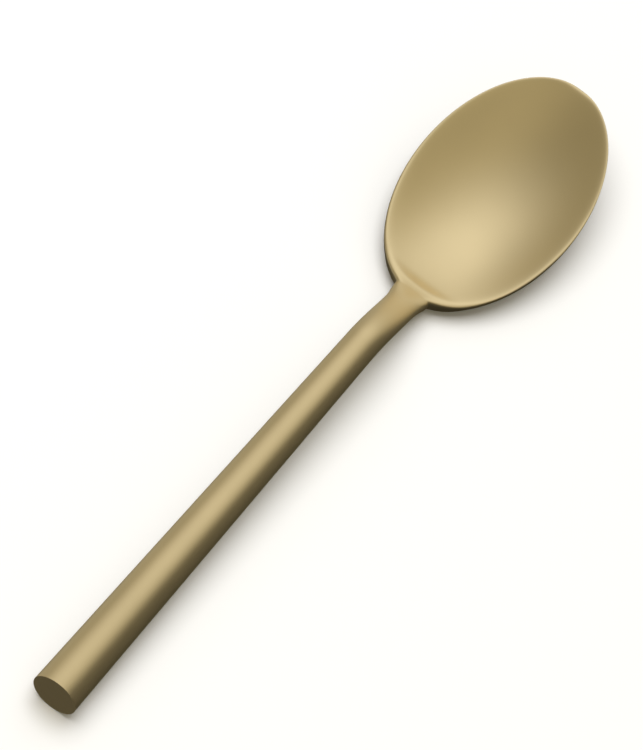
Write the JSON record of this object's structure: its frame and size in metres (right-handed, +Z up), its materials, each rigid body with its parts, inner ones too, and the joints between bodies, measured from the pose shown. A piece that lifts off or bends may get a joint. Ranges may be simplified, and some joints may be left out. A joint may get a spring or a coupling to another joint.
{
  "type": "soup spoon",
  "caption": "Long soup spoon with a shallow oval bowl, a slim dropped neck and a round tapered hollow handle that ends in a flat butt, in a satin pale gold finish.",
  "frame": {"origin": "on the table under the middle of the spoon's bounding box, with the spoon lying on the bowl's belly and the butt's lower edge", "axes": "+X along the spoon from the butt to the bowl's tip, +Y to its left, +Z up, out of the bowl"},
  "size_m": [0.205, 0.0418, 0.0168],
  "materials": {
    "gold_polished": "stainless steel with a pale gold coating, soft polish",
    "gold_satin": "stainless steel with a pale gold coating, brushed satin",
    "filler_cement": "set cement, hidden inside the handle",
    "braze_alloy": "brazing alloy, ground flush and coated over"
  },
  "bodies": {
    "root": {"bowl": "gold_polished", "handle_upper_shell": "gold_satin", "handle_lower_shell": "gold_satin", "butt_cap": "gold_satin", "handle_filler": "filler_cement", "braze_ring": "braze_alloy"}
  },
  "joints": []
}
